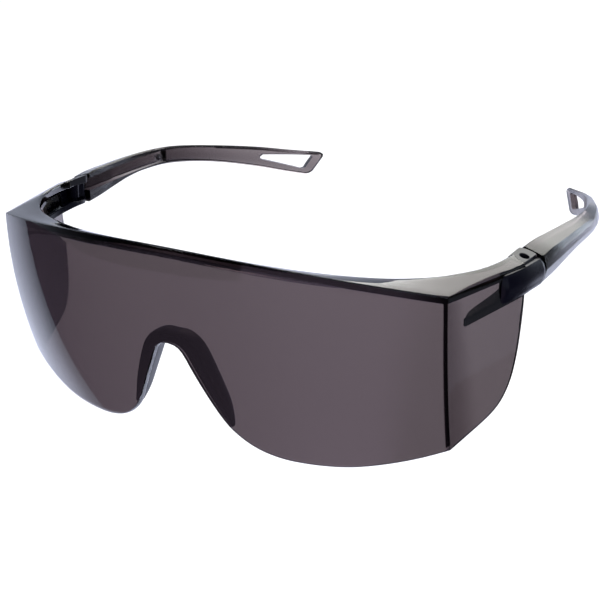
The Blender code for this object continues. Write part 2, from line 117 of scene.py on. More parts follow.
def piece(name, bm, material, body, node, sharp_deg=45, side=1):
    """A finished piece from a bmesh in design millimetres that rides on a body."""
    bmesh.ops.recalc_face_normals(bm, faces=bm.faces)
    scale = Matrix.Diagonal((side * MM, MM, MM, 1))
    bmesh.ops.transform(bm, matrix=scale @ Matrix.Translation(DATUM), verts=bm.verts)
    if side < 0:
        bmesh.ops.reverse_faces(bm, faces=bm.faces)
    mesh = bpy.data.meshes.new(name)
    bm.to_mesh(mesh)
    bm.free()
    mesh.shade_smooth()
    if sharp_deg:
        mesh.set_sharp_from_angle(angle=math.radians(sharp_deg))
    obj = bpy.data.objects.new(name, mesh)
    bpy.context.scene.collection.objects.link(obj)
    mesh.materials.append(material)
    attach(obj, body)
    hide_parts(node)
    return obj


def round_edges(obj, width_mm, segments=3, angle_deg=40):
    bevel = obj.modifiers.new("rounded edges", 'BEVEL')
    bevel.width = width_mm * MM
    bevel.segments = segments
    bevel.limit_method = 'ANGLE'
    bevel.angle_limit = math.radians(angle_deg)
    bevel.use_clamp_overlap = True
    bevel.harden_normals = True
    return obj


def subdivide(obj, levels):
    modifier = obj.modifiers.new("smooth surface", 'SUBSURF')
    modifier.levels = levels
    modifier.render_levels = levels
    return obj


def loft(bm, rings, closed=True):
    """Skin equal rings of points; the end rings are capped unless closed is False."""
    loops = [[bm.verts.new(p) for p in ring] for ring in rings]
    count = len(loops[0])
    for a, b in zip(loops, loops[1:]):
        for i in range(count):
            j = (i + 1) % count
            bm.faces.new((a[i], a[j], b[j], b[i]))
    if closed:
        bm.faces.new(list(reversed(loops[0])))
        bm.faces.new(loops[-1])
    return loops


# ------------------------------------------------------------------ the visor's surfaces

LENS_SAG_PER_DROP = 0.066
LENS_WRAP_POWER = 2.52
LENS_VERTICAL_RADIUS = 108.0
LENS_VERTICAL_CENTRE = 2.2
BROW_ARCH_POWER = 2.2
CORNER_DROP = 43.1
CORNER_TUCK = 2.0
SHIELD_SPLAY = 0.225
SHIELD_REAR = 29.1
SHIELD_RISE = 0.055
FACE_WALL = 2.2
SHIELD_WALL = 1.8
CORNER_WALL = 2.3
LEDGE_THICKNESS = 2.6
LEDGE_ROOT = 2.15
LIP_RADIUS = 1.1
SHIELD_TAPER = 0.7
TAPER_START = 0.94
CROWN_RADIUS = 0.35
SIDE_CROWN_RADIUS = 0.9

ARCH_OUTLINE = [(0, -20.4), (2.6, -20.9), (4.7, -22.8), (6.5, -26.3), (8.8, -30.8), (11.6, -36.2),
                (13.3, -39.3), (15.1, -42.1)]
LOBE_OUTLINE = [(17.4, -44.5), (20.5, -46.8), (24.5, -48.6), (30, -49.8), (38, -50.1),
                (46, -49.6), (54, -48.0), (62, -45.7), (69, -43.1)]
SHIELD_OUTLINE = [(8.0, -43.1), (15.6, -40.0), (21.5, -37.4), (25.2, -34.4), (27.6, -29.5),
                  (28.7, -23), (SHIELD_REAR, -14), (SHIELD_REAR, -10)]
LEDGE_INNER = [(0, -14.9, 4.6), (18, -13.6, 4.1), (34, -9.2, 3.0), (45, -5.0, 2.4), (55, -0.4, 2.3),
               (62, 5.0, 2.4), (67.3, 11.5, 2.7), (70.6, 18, 2.9), (72.1, 24.5, 3.2), (72.3, 31, 3.45)]
LEDGE_INNER_STATION = [0, 0.25, 0.46, 0.6, 0.75, 0.9, 1.1, 1.38, 1.66, 2.0]

OUTLINE_POINTS = [(p.x, p.y) for p in catmull([(*p, 0) for p in ARCH_OUTLINE + LOBE_OUTLINE], 8)]
SHIELD_POINTS = catmull([(*p, 0) for p in SHIELD_OUTLINE], 8)


def corner_x(z):
    return HALF_WIDTH - CORNER_TUCK * (z / CORNER_DROP) ** 2


def lens_y(x, z):
    sag = LENS_SAG - LENS_SAG_PER_DROP * z
    wrap = -sag * (1 - (abs(x) / HALF_WIDTH) ** LENS_WRAP_POWER)
    bulge = (z - LENS_VERTICAL_CENTRE) ** 2 - LENS_VERTICAL_CENTRE ** 2
    return wrap + bulge / (2 * LENS_VERTICAL_RADIUS)


def lens_normal(x, z):
    e = 0.05
    dx = (lens_y(x + e, z) - lens_y(x - e, z)) / (2 * e)
    dz = (lens_y(x, z + e) - lens_y(x, z - e)) / (2 * e)
    return Vector((dx, -1, dz)).normalized()


def brow_z(x):
    return BROW_ARCH * (1 - (abs(x) / HALF_WIDTH) ** BROW_ARCH_POWER)


def outline_z(x):
    """Bottom edge of the lens face at a distance from the middle."""
    for (x0, z0), (x1, z1) in zip(OUTLINE_POINTS, OUTLINE_POINTS[1:]):
        if x <= x1:
            return lerp(z0, z1, clamp((x - x0) / max(x1 - x0, 1e-6)))
    return OUTLINE_POINTS[-1][1]


def shield_edge(w):
    """Point (y, z) of a shield's lower and rear edge, w from 0 at the corner to 1 at the rear."""
    spot = w * (len(SHIELD_POINTS) - 1)
    k = min(int(spot), len(SHIELD_POINTS) - 2)
    p = SHIELD_POINTS[k].lerp(SHIELD_POINTS[k + 1], spot - k)
    return p.x, p.y


def face_point(u, v, inward=0.0):
    """Lens face: u 0..1 from the middle to the corner, v 0..1 from the brow to the lower edge."""
    top = brow_z(u * HALF_WIDTH)
    bottom = top
    for _ in range(6):
        bottom = outline_z(u * corner_x(bottom))
    z = lerp(top, bottom, v)
    x = u * corner_x(z)
    point = Vector((x, lens_y(x, z), z))
    if inward:
        normal = lens_normal(x, z)
        point = point - Vector((normal.x, normal.y, 0)).normalized() * inward
    return point


SHIELD_NORMAL = Vector((1, -SHIELD_SPLAY, 0)).normalized()


def side_point(w, v, inward=0.0):
    """Side shield: w 0..1 from the corner to the rear edge, v 0..1 from the top to the edge."""
    top_y = w * SHIELD_REAR
    top_z = SHIELD_RISE * top_y
    edge_y, edge_z = shield_edge(w)
    edge_front = lens_y(corner_x(edge_z), edge_z)
    share = clamp((edge_y - edge_front) / (SHIELD_REAR - edge_front))
    z = lerp(top_z, edge_z, v)
    front_x = corner_x(z)
    front_y = lens_y(front_x, z)
    y = front_y + lerp(w, share, v) * (SHIELD_REAR - front_y)
    point = Vector((front_x + SHIELD_SPLAY * (y - front_y), y, z))
    return point - SHIELD_NORMAL * inward


def ledge_inner(station):
    values = [along([(s, p[axis]) for s, p in zip(LEDGE_INNER_STATION, LEDGE_INNER)], station)
              for axis in range(3)]
    return Vector(values)


# How far the inner corner lies from the outer one along the face and along the shield
INNER_FACE_END = 0.9879
INNER_SIDE_START = 0.77 / SHIELD_REAR
OUTER_FILLET = 0.2
INNER_FILLET = 0.3


def wall(kind, t, v, inner):
    """Point of the outer or inner wall at a column of the shell."""
    if kind == "face":
        return face_point(t * INNER_FACE_END, v, FACE_WALL) if inner else face_point(t, v)
    if kind == "side":
        thickness = lerp(CORNER_WALL, SHIELD_WALL, smooth(t * SHIELD_REAR / 6))
        thickness *= lerp(1, SHIELD_TAPER, smooth((t - TAPER_START) / (1 - TAPER_START)))
        return side_point(lerp(INNER_SIDE_START, 1, t), v, thickness) if inner else side_point(t, v)
    reach = INNER_FILLET if inner else OUTER_FILLET
    a = wall("face", 1 - reach / HALF_WIDTH, v, inner)
    b = wall("side", reach / SHIELD_REAR, v, inner)
    c = wall("face", 1, v, inner)
    return a * (1 - t) ** 2 + c * 2 * t * (1 - t) + b * t * t


def shell_ring(kind, t, station):
    """One L-shaped section of the shell: up the outer wall, over the ledge, down the inner wall."""
    rows = 40
    round_share = 0.45
    outer = [wall(kind, t, 1 - k / rows, False) for k in range(rows + 1)]
    inner = [wall(kind, t, k / rows, True) for k in range(rows + 1)]
    low_out, low_in = outer[0], inner[-1]
    lift = (outer[1] - outer[0]).normalized()
    rim = [low_in.lerp(low_out, s) + lift * h for s, h in
           ((0.0, round_share), (0.1, 0.15), (0.3, 0.0), (0.7, 0.0), (0.9, 0.15), (1.0, round_share))]
    edge = ledge_inner(station)
    top = outer[-1]
    across = (edge - top)
    step = across.normalized()
    radius = lerp(CROWN_RADIUS, SIDE_CROWN_RADIUS, smooth((station - 1.05) / 0.5))
    crown = [top + step * radius * (1 - math.cos(a)) + Vector((0, 0, -radius * (1 - math.sin(a))))
             for a in [math.radians(18 * k) for k in range(6)]]
    plate = [top.lerp(edge, s) for s in (0.3, 0.5, 0.75)]
    lip = [edge - step * LIP_RADIUS * (1 - math.sin(a)) + Vector((0, 0, -LIP_RADIUS * (1 - math.cos(a))))
           for a in [math.radians(22.5 * k) for k in range(5)]]
    lip += [edge + Vector((0, 0, -LEDGE_THICKNESS + 0.5)),
            edge - step * 0.17 + Vector((0, 0, -LEDGE_THICKNESS + 0.1)),
            edge - step * 0.6 + Vector((0, 0, -LEDGE_THICKNESS))]
    root = inner[0] + Vector((0, 0, -LEDGE_ROOT))
    under = lip[-1]
    below = [under.lerp(root, s) for s in (0.4, 0.75)]
    inward = (under - root).normalized()
    fillet = [root + inward * 0.25, root + inward * 0.06 + Vector((0, 0, -0.06)),
              root + Vector((0, 0, -0.25))]
    outer_kept = [p for p in outer[1:-1] if p.z < top.z - radius - 0.2]
    inner_kept = [p for p in inner[1:-1] if p.z < root.z - 0.5]
    outer_even = resample(outer_kept, 34)
    inner_even = resample(inner_kept, 34)
    return rim[3:] + outer_even + crown + plate + lip + below + fillet + inner_even + rim[:3]


def resample(points, count):
    lengths = [0.0]
    for a, b in zip(points, points[1:]):
        lengths.append(lengths[-1] + (b - a).length)
    out = []
    k = 0
    for i in range(count):
        goal = lengths[-1] * i / (count - 1)
        while k < len(lengths) - 2 and lengths[k + 1] < goal:
            k += 1
        t = (goal - lengths[k]) / max(lengths[k + 1] - lengths[k], 1e-9)
        out.append(points[k].lerp(points[k + 1], clamp(t)))
    return out


def shell_columns():
    """Columns of one half, from the middle of the face to the shield's rear edge."""
    columns = []
    steps = 64
    for k in range(steps):
        u = (k / steps) ** 1.0 * (1 - OUTER_FILLET / HALF_WIDTH)
        columns.append(("face", u, u))
    for k in range(7):
        columns.append(("corner", k / 6, 1.0))
    for k in range(1, 25):
        w = lerp(OUTER_FILLET / SHIELD_REAR, 1, k / 24)
        columns.append(("side", w, 1 + w))
    return columns


def build_shell(material):
    half = []
    for kind, t, station in shell_columns():
        if kind == "corner":
            station = lerp(1 - OUTER_FILLET / HALF_WIDTH, 1 + OUTER_FILLET / SHIELD_REAR, t)
        half.append(shell_ring(kind, t, station))
    mirrored = [[Vector((-p.x, p.y, p.z)) for p in ring] for ring in half[:0:-1]]
    bm = bmesh.new()
    loft(bm, mirrored + half)
    return piece("visor_shell", bm, material, "visor", "visor", 60)


def build_nose_rim(material):
    """The thick rim behind the arch that rests on the nose."""
    path = catmull([(*p, 0) for p in ARCH_OUTLINE], 4)
    half = [(p.x, p.y, k / (len(path) - 1)) for k, p in enumerate(path)]
    full = [(-x, z, s) for x, z, s in reversed(half[1:])] + half
    rings = []
    for k, (x, z, share) in enumerate(full):
        before = full[max(k - 1, 0)]
        after = full[min(k + 1, len(full) - 1)]
        tangent = Vector((after[0] - before[0], after[1] - before[1], 0)).normalized()
        out = Vector((-tangent.y, tangent.x, 0))
        fade = 1 - share ** 4
        width = lerp(3.2, 4.2, math.sin(math.pi * min(share * 1.3, 1))) * lerp(0.35, 1, fade)
        depth = lerp(0.8, 5.0, fade)
        flare = 0.9 * fade
        front = lens_y(x, z) + 1.3
        back = lens_y(x, z) + FACE_WALL + depth
        shape = [(0.15, front), (width * 0.5, front), (width, front + 0.2), (width + 0.2, lerp(front, back, 0.5)),
                 (width + 0.2, back - 1.0), (width - 0.5, back), (lerp(flare, width, 0.5), back + 0.1),
                 (flare + 0.4, back), (flare, back - 0.7), (lerp(0.15, flare, 0.5), lerp(front, back, 0.5))]
        rings.append([Vector((x + out.x * a, y, z + out.y * a)) for a, y in shape])
    bm = bmesh.new()
    loft(bm, rings)
    return subdivide(piece("nose_rim", bm, material, "visor", "visor", 0), 2)


# ------------------------------------------------------------------ hinges

POCKET_TOP = 1.2
SHELF_TOP = -3.6
EAR_INNER_X = 72.3
BLOCK_REAR = 37.8
EAR_RADIUS = 4.25
SHELF_THICKNESS = 1.9
BLOCK_SECTIONS = [(19.8, 74.0, 75.3, 0.5, -6.4), (20.3, 74.1, 76.2, 0.75, -6.6),
                  (21.5, 74.4, 76.7, 0.85, -6.5), (24, 75.0, 77.3, 1.0, -6.3),
                  (29, 76.0, 78.0, 1.2, -6.0), (BLOCK_REAR, 76.2, 78.4, 1.5, -5.6)]
SHELF_SECTIONS = [(7.0, 71.0, 72.1, -9.0, -9.3), (11.0, 70.1, 72.7, -8.3, -8.9), (22.6, 71.4, 75.3, -6.2, -7.5),
                  (30.6, 71.2, 77.3, -5.0, -6.4), (BLOCK_REAR - 0.2, 71.6, 77.4, -4.9, -5.7)]


def section_at(sections, y):
    return [along([(s[0], s[k]) for s in sections], y) for k in range(1, len(sections[0]))]


def build_block(side, name, material):
    """Outer wall of a hinge, with a bevel strip along its top and a rounded front."""
    rings = []
    stations = [19.8, 19.95, 20.2, 20.6, 21.2, 22, 23, 24, 25, 27, 29, 31, 33, 35, 36.6, 37.5, BLOCK_REAR]
    for y in stations:
        x_in, x_out, top, bottom = section_at(BLOCK_SECTIONS, y)
        shrink = smooth((y - 19.8) / 1.0)
        top = lerp(top - 0.7, top, shrink)
        bottom = lerp(bottom + 0.5, bottom, shrink)
        height = top - bottom
        shape = [(x_in, top), (x_out - 0.9, top), (x_out - 0.55, top - 0.08), (x_out - 0.05, top - 0.75),
                 (x_out + 0.3, top - 0.2 * height), (x_out + 0.7, top - 0.38 * height),
                 (x_out + 0.8, top - 0.5 * height), (x_out + 0.7, top - 0.64 * height),
                 (x_out + 0.35, top - 0.8 * height), (x_out, bottom + 0.7), (x_out - 0.25, bottom + 0.25),
                 (x_out - 0.7, bottom), (x_in, bottom)]
        if y >= BLOCK_REAR - 0.01:
            centre = Vector((lerp(x_in, x_out, 0.5), y, (top + bottom) / 2))
            rings.append([Vector((x, y, z)).lerp(centre, 0.06) for x, z in shape])
        else:
            rings.append([Vector((x, y, z)) for x, z in shape])
    bm = bmesh.new()
    loft(bm, rings)
    return piece(f"{name}_hinge_block", bm, material, "visor", "visor", 32, side)


EAR_OUTER_X = 76.5


def ear_outline():
    """Plan of the upper ear: a rounded outer front corner, rounded about the pin inside."""
    corner = 1.4
    centre = (EAR_OUTER_X - corner, 29.15 + corner)
    points = [(EAR_INNER_X, 29.15)]
    for k in range(7):
        a = math.radians(-90 + 15 * k)
        points.append((centre[0] + corner * math.cos(a), centre[1] + corner * math.sin(a)))
    points.append((EAR_OUTER_X, BLOCK_REAR))
    for k in range(8):
        a = math.radians(lerp(90, 134, k / 7))
        points.append((PIN_X + EAR_RADIUS * math.cos(a), PIN_Y + EAR_RADIUS * math.sin(a)))
    return points


def ear_top_z(x, y):
    return 3.0 + 0.0625 * (y - 28.2) - 0.3208 * (x - EAR_INNER_X)


def plate_with_hole(bm, outline, top_z, bottom_z, hole, radius, sides):
    """A plate with a round hole through it; its top and bottom heights are functions of x, y."""
    angles = [2 * math.pi * k / sides for k in range(sides)]
    rim = [(hole[0] + radius * math.cos(a), hole[1] + radius * math.sin(a)) for a in angles]
    outer = [ray_to_outline(outline, hole, a) for a in angles]
    rings = []
    for points, z_of in ((rim, bottom_z), (rim, top_z), (outer, top_z), (outer, bottom_z)):
        rings.append([bm.verts.new((x, y, z_of(x, y))) for x, y in points])
    rings.append(rings[0])
    for a, b in zip(rings, rings[1:]):
        for i in range(sides):
            j = (i + 1) % sides
            bm.faces.new((a[i], a[j], b[j], b[i]))


def ray_to_outline(outline, origin, angle):
    """Where a ray from a point leaves a closed outline."""
    dx, dy = math.cos(angle), math.sin(angle)
    best = 1e9
    loop = outline + [outline[0]]
    for (x0, y0), (x1, y1) in zip(loop, loop[1:]):
        ex, ey = x1 - x0, y1 - y0
        cross = dx * ey - dy * ex
        if abs(cross) < 1e-9:
            continue
        t = ((x0 - origin[0]) * ey - (y0 - origin[1]) * ex) / cross
        s = ((x0 - origin[0]) * dy - (y0 - origin[1]) * dx) / cross
        if t > 0 and -1e-6 <= s <= 1 + 1e-6:
            best = min(best, t)
    return origin[0] + best * dx, origin[1] + best * dy


def build_ear(side, name, material):
    bm = bmesh.new()
    plate_with_hole(bm, ear_outline(), ear_top_z, lambda x, y: POCKET_TOP, (PIN_X, PIN_Y), 1.25, 60)
    obj = piece(f"{name}_hinge_ear", bm, material, "visor", "visor", 30, side)
    return round_edges(obj, 0.22, 2, 50)


def build_shelf(side, name, material):
    """Lower ear: a shelf along the shield's inner side."""
    rings = []
    for k in range(25):
        y = lerp(SHELF_SECTIONS[0][0], BLOCK_REAR - 0.2, k / 24)
        x_in, x_out, bottom_in, bottom_out = section_at(SHELF_SECTIONS, y)
        top_in = bottom_in + SHELF_THICKNESS
        top_out = bottom_out + SHELF_THICKNESS
        if y > 30.6:
            top_in = min(top_in, SHELF_TOP)
            top_out = min(top_out, SHELF_TOP)
            rear = smooth((y - PIN_Y) / 4.2)
            x_in = lerp(x_in, PIN_X - 1.2, rear ** 2)
        shape = [(x_in, bottom_in), (x_out, bottom_out), (x_out, top_out), (x_in, top_in)]
        rings.append([Vector((x, y, z)) for x, z in shape])
    bm = bmesh.new()
    loft(bm, rings)
    obj = piece(f"{name}_hinge_shelf", bm, material, "visor", "visor", 30, side)
    return round_edges(obj, 0.3, 3, 50)


# ------------------------------------------------------------------ sliders, buttons and pins

ARM_FRONT = 38.2
SLIDER_GAP = 0.3
STRIP_THICKNESS = 1.2
STRIP_HEIGHT = 3.3
STRIP_END = 76.0
STRIP_LENGTH = STRIP_END - ARM_FRONT
BUTTON_Y = 73.6
BUTTON_RADIUS = 1.25
BUTTON_STEM = 0.6
PIN_RADIUS = 1.0
PIN_CLEARANCE = 0.3
KNUCKLE_GAP = 0.35
KNUCKLE_RADIUS = 1.75
HEEL_IN = -1.6
HEEL_REAR_IN = -1.1
HEEL_LENGTH = 12.5
SLIDE_AXIS = Vector(JOINTS["left_length"]["axis"]).normalized()
STRIP_ORIGIN = Vector((75.3, ARM_FRONT, 0.3))
SLIDE_SIDE = SLIDE_AXIS.cross(Vector((0, 0, 1))).normalized()
SLIDE_RISE = SLIDE_SIDE.cross(SLIDE_AXIS)


def slide_frame(distance, across=0.0, up=0.0):
    return STRIP_ORIGIN + SLIDE_AXIS * distance + SLIDE_SIDE * across + SLIDE_RISE * up


def scratch_object(bm):
    """A helper mesh in design millimetres for a Boolean."""
    bmesh.ops.recalc_face_normals(bm, faces=bm.faces)
    mesh = bpy.data.meshes.new("scratch")
    bm.to_mesh(mesh)
    bm.free()
    obj = bpy.data.objects.new("scratch", mesh)
    bpy.context.scene.collection.objects.link(obj)
    return obj


def combine(target, tool, operation):
    """Boolean of two helper meshes, applied to the first; the second is deleted."""
    modifier = target.modifiers.new("cut", 'BOOLEAN')
    modifier.operation = operation
    modifier.solver = 'EXACT'
    modifier.object = tool
    evaluated = target.evaluated_get(bpy.context.evaluated_depsgraph_get())
    mesh = bpy.data.meshes.new_from_object(evaluated)
    target.modifiers.clear()
    target.data = mesh
    bpy.data.objects.remove(tool)


def to_bmesh(obj):
    """The helper's mesh, with the Boolean's slivers dissolved; the helper is deleted."""
    bm = bmesh.new()
    bm.from_mesh(obj.data)
    bpy.data.objects.remove(obj)
    bmesh.ops.remove_doubles(bm, verts=bm.verts, dist=0.01)
    bmesh.ops.dissolve_degenerate(bm, dist=0.01, edges=bm.edges)
    return bm


def strip_box(start, end, inner, outer, half_height, steps=1):
    """A bar along the slide axis, from inner to outer across and centred in height."""
    ring = [(inner, -half_height), (outer, -half_height), (outer, half_height), (inner, half_height)]
    bm = bmesh.new()
    stations = [lerp(start, end, k / steps) for k in range(steps + 1)]
    loft(bm, [[slide_frame(d, a, b) for a, b in ring] for d in stations])
    return scratch_object(bm)


def turning(profile, centre, axis, across, sides=32):
    """Closed turned shape: (distance along the axis, radius) pairs about a line."""
    other = axis.cross(across)
    rings = []
    for distance, radius in profile:
        rings.append([centre + axis * distance + (across * math.cos(a) + other * math.sin(a)) * radius
                      for a in [2 * math.pi * k / sides for k in range(sides)]])
    bm = bmesh.new()
    loft(bm, rings)
    return bm


def build_knuckle(side, name, material):
    """The slider's round end about the pin, with its cheek back to the temple's front."""
    top = POCKET_TOP - KNUCKLE_GAP
    bottom = SHELF_TOP + KNUCKLE_GAP
    neck_end = ARM_FRONT - 0.5
    arc = [math.radians(150 + 6 * k) for k in range(33)]
    ring = [(PIN_X + KNUCKLE_RADIUS * math.cos(a), PIN_Y + KNUCKLE_RADIUS * math.sin(a)) for a in arc]
    ring += [(76.4, PIN_Y + 1.5), (76.4, neck_end), (PIN_X - 0.9, neck_end), (PIN_X - 2.0, PIN_Y + 2.6)]
    bm = bmesh.new()
    loft(bm, [[Vector((x, y, z)) for x, y in ring] for z in (bottom, top)])
    knuckle = scratch_object(bm)
    bore = turning([(-12, PIN_RADIUS + PIN_CLEARANCE), (12, PIN_RADIUS + PIN_CLEARANCE)],
                   Vector((PIN_X, PIN_Y, 0)), Vector((0, 0, 1)), Vector((1, 0, 0)))
    combine(knuckle, scratch_object(bore), 'DIFFERENCE')
    obj = piece(f"{name}_slider_knuckle", to_bmesh(knuckle), material, f"{name}_hinge", f"{name}_slider",
                30, side)
    return round_edges(obj, 0.25, 3, 50)


def build_slider(side, name, material):
    """The flat strip that runs in the temple's channel, with the heel at its front."""
    half = STRIP_THICKNESS / 2
    bm = bmesh.new()
    rows = STRIP_HEIGHT / 2
    loft(bm, [[slide_frame(d, a, b) for a, b in ((inner, -rows), (0, -rows), (0, rows), (inner, rows))]
              for d, inner in ((-0.4, HEEL_IN), (HEEL_LENGTH, HEEL_REAR_IN))])
    slider = scratch_object(bm)
    combine(slider, strip_box(-0.4, STRIP_LENGTH, -half, half, STRIP_HEIGHT / 2), 'UNION')
    hole = turning([(-3, BUTTON_STEM + SLIDER_GAP), (3, BUTTON_STEM + SLIDER_GAP)],
                   slide_frame(BUTTON_Y - ARM_FRONT), SLIDE_SIDE, SLIDE_AXIS)
    combine(slider, scratch_object(hole), 'DIFFERENCE')
    obj = piece(f"{name}_length_slider", to_bmesh(slider), material, f"{name}_hinge", f"{name}_slider",
                30, side)
    return round_edges(obj, 0.12, 2, 50)


def build_button(side, name, material):
    """Domed stop button on the wearer's side of the strip, with a dimple in its head."""
    half = STRIP_THICKNESS / 2
    face = -half - SLIDER_GAP
    head = BUTTON_RADIUS
    profile = [(-1.93, 0.02), (-1.94, head * 0.3), (-2.1, head * 0.45), (-2.12, head * 0.62),
               (-2.03, head * 0.82), (-1.8, head * 0.95), (-1.5, head), (face - 0.12, head),
               (face, head - 0.12), (face, BUTTON_STEM), (half - 0.25, BUTTON_STEM),
               (half - 0.1, BUTTON_STEM - 0.15), (half - 0.1, 0.02)]
    bm = turning(profile, slide_frame(BUTTON_Y - ARM_FRONT), SLIDE_SIDE, SLIDE_AXIS)
    return piece(f"{name}_domed_button", bm, material, f"{name}_hinge", f"{name}_stop_button",
                 40, side)


def build_pin(side, name, material):
    """Turned pin with rounded ends, sunk in the ear."""
    low, high = (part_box("left_hinge_pin")[k].z / MM - DATUM.z for k in (0, 1))
    profile = [(low, 0.02), (low, 0.6), (low + 0.12, 0.88), (low + 0.35, PIN_RADIUS),
               (high - 0.35, PIN_RADIUS), (high - 0.12, 0.88), (high, 0.6), (high, 0.02)]
    bm = turning(profile, Vector((PIN_X, PIN_Y, 0)), Vector((0, 0, 1)), Vector((1, 0, 0)))
    return piece(f"{name}_turned_pin", bm, material, "visor", f"{name}_hinge_pin", 50, side)


# ------------------------------------------------------------------ temples

ARM_INNER_X = [(38, 72.2), (44, 72.6), (51, 73.1), (65, 73.6), (76, 72.6), (86, 69.6), (98, 64.7), (110, 59.1),
               (120, 52.8), (130, 44.3)]
ARM_TOP_Z = [(38, 3.6), (43, 4.3), (50, 4.6), (65, 4.9), (80, 4.4), (95, 2.5), (110, 0.0), (120, -2.1), (130, -3.9)]
ARM_BOTTOM_Z = [(38, -5.3), (44, -4.5), (50, -3.4), (58, -2.0), (66, -1.2), (80, -1.1), (95, -3.1),
                (110, -6.8), (120, -9.9), (130, -12.6)]
ARM_THICKNESS = [(38, 6.3), (44, 5.9), (51, 5.3), (65, 4.2), (80, 3.5), (92, 2.8), (104, 2.3), (130, 1.9)]
ARM_END = 129.4
ARM_BULGE = 1.12
TIP_SLANT = 4.6
WINDOW = [(110.6, -3.4), (111.5, -2.8), (125.6, -4.4), (126.2, -5.1), (124.2, -8.8), (123.4, -9.0),
          (111.3, -4.5), (110.6, -4.0)]
TIP_ROUND = 1.8


def arm_run(y):
    step = 0.5
    y = max(y, 62)
    return Vector((along(ARM_INNER_X, y + step) - along(ARM_INNER_X, y - step), 2 * step, 0)).normalized()


def arm_ring(y, inset=0.0):
    """Section of a temple: sloped top, bulged outer side, square to the temple's own run."""
    run = arm_run(y)
    out = Vector((run.y, -run.x, 0))
    thick = along(ARM_THICKNESS, y)
    top = along(ARM_TOP_Z, y) - inset
    bottom = along(ARM_BOTTOM_Z, y) + inset
    slope = lerp(1.7, 0.7, clamp((y - 38) / 50))
    base = Vector((along(ARM_INNER_X, y), y, 0))
    shape = [(0, bottom + 0.4), (0, top - 0.4), (0.5, top), (thick - 0.4, top - slope),
             (thick, top - slope - 0.6), (thick * 1.07, lerp(top - slope, bottom, 0.3)),
             (thick * ARM_BULGE, (top - slope + bottom) / 2), (thick * 1.07, lerp(top - slope, bottom, 0.7)),
             (thick - 0.1, bottom + 0.5), (thick - 0.7, bottom), (0.5, bottom)]
    return [base + out * a + Vector((0, 0, z)) for a, z in shape]


def build_temple(side, name, material):
    """A temple with its channel and its tip window; the tip's end slants."""
    rings = []
    stations = [lerp(ARM_FRONT, ARM_END - TIP_ROUND, k / 69) for k in range(70)]
    stations += [ARM_END - TIP_ROUND * (1 - math.sin(math.radians(a))) for a in (20, 38, 55, 72, 90)]
    for y in stations:
        slant = TIP_SLANT * smooth((y - 112) / (ARM_END - 112))
        e = clamp((y - ARM_END + TIP_ROUND) / TIP_ROUND)
        inset = TIP_ROUND * 0.8 * (1 - math.sqrt(1 - e * e))
        high, low = arm_ring(y, inset), arm_ring(y - slant, inset)
        rings.append([q.lerp(p, clamp((q.z + 12.2) / 8.5)) for p, q in zip(high, low)])
    bm = bmesh.new()
    loft(bm, rings)
    arm = scratch_object(bm)
    half = STRIP_THICKNESS / 2
    combine(arm, strip_box(-8, STRIP_LENGTH + 0.6, -9, half + SLIDER_GAP, STRIP_HEIGHT / 2 + SLIDER_GAP),
            'DIFFERENCE')
    run = (Vector((along(ARM_INNER_X, 125), 125, 0)) - Vector((along(ARM_INNER_X, 110), 110, 0))).normalized()
    out = Vector((run.y, -run.x, 0))
    inner = [Vector((along(ARM_INNER_X, y), y, z)) for y, z in WINDOW]
    bm = bmesh.new()
    loft(bm, [[p - out * 4 for p in inner], [p + out * 8 for p in inner]])
    bmesh.ops.recalc_face_normals(bm, faces=bm.faces)
    combine(arm, scratch_object(bm), 'DIFFERENCE')
    obj = piece(f"{name}_temple_arm", to_bmesh(arm), material, f"{name}_temple", f"{name}_temple",
                22, side)
    return round_edges(obj, 0.28, 3, 24)


# ------------------------------------------------------------------ camera, lights, floor

FLOOR_DROP = 0.30
FLOOR_GLOW = 0.90
FLOOR_ALBEDO = 0.5
PAINTED_REFLECTION_TINT = (0.76, 0.80, 1.0)


def panel_material(name, glow, colour=(1, 1, 1), albedo=0.0):
    material, tree, shader = new_material(name)
    shader.inputs["Base Color"].default_value = (albedo, albedo, albedo, 1)
    shader.inputs["Roughness"].default_value = 0.9
    shader.inputs["Specular IOR Level"].default_value = 0.0
    shader.inputs["Emission Color"].default_value = (*colour, 1)
    shader.inputs["Emission Strength"].default_value = glow
    return material, tree, shader


def stage_panel(name, corners, material):
    """A flat panel of the stage."""
    mesh = bpy.data.meshes.new(name)
    mesh.from_pydata(corners, [], [tuple(range(len(corners)))])
    mesh.materials.append(material)
    panel = bpy.data.objects.new(name, mesh)
    bpy.context.scene.collection.objects.link(panel)
    return panel


def reflection_only(panel):
    panel.visible_camera = False
    panel.visible_diffuse = False
    panel.visible_transmission = False
    panel.visible_shadow = False


# Glow of the painted reflection panel that only gloss sees (the floor the camera sees glows evenly), by degrees
# round from straight behind, right positive
GLOW_ROUND = [(-180, 0.02), (-125, 0.05), (-95, 0.5), (-65, 1.3), (-30, 1.0), (0, 1.6), (24, 2.0),
              (32, 0.15), (43, 0.05), (52, 0.16), (80, 0.16), (95, 0.05), (180, 0.02)]
# Glow of the front painted reflection, by the same degrees round
FRONT_REFLECTION_ROUND = [(-180, 0.42), (0, 0.05), (136, 0.05), (158, 0.42), (180, 0.42)]


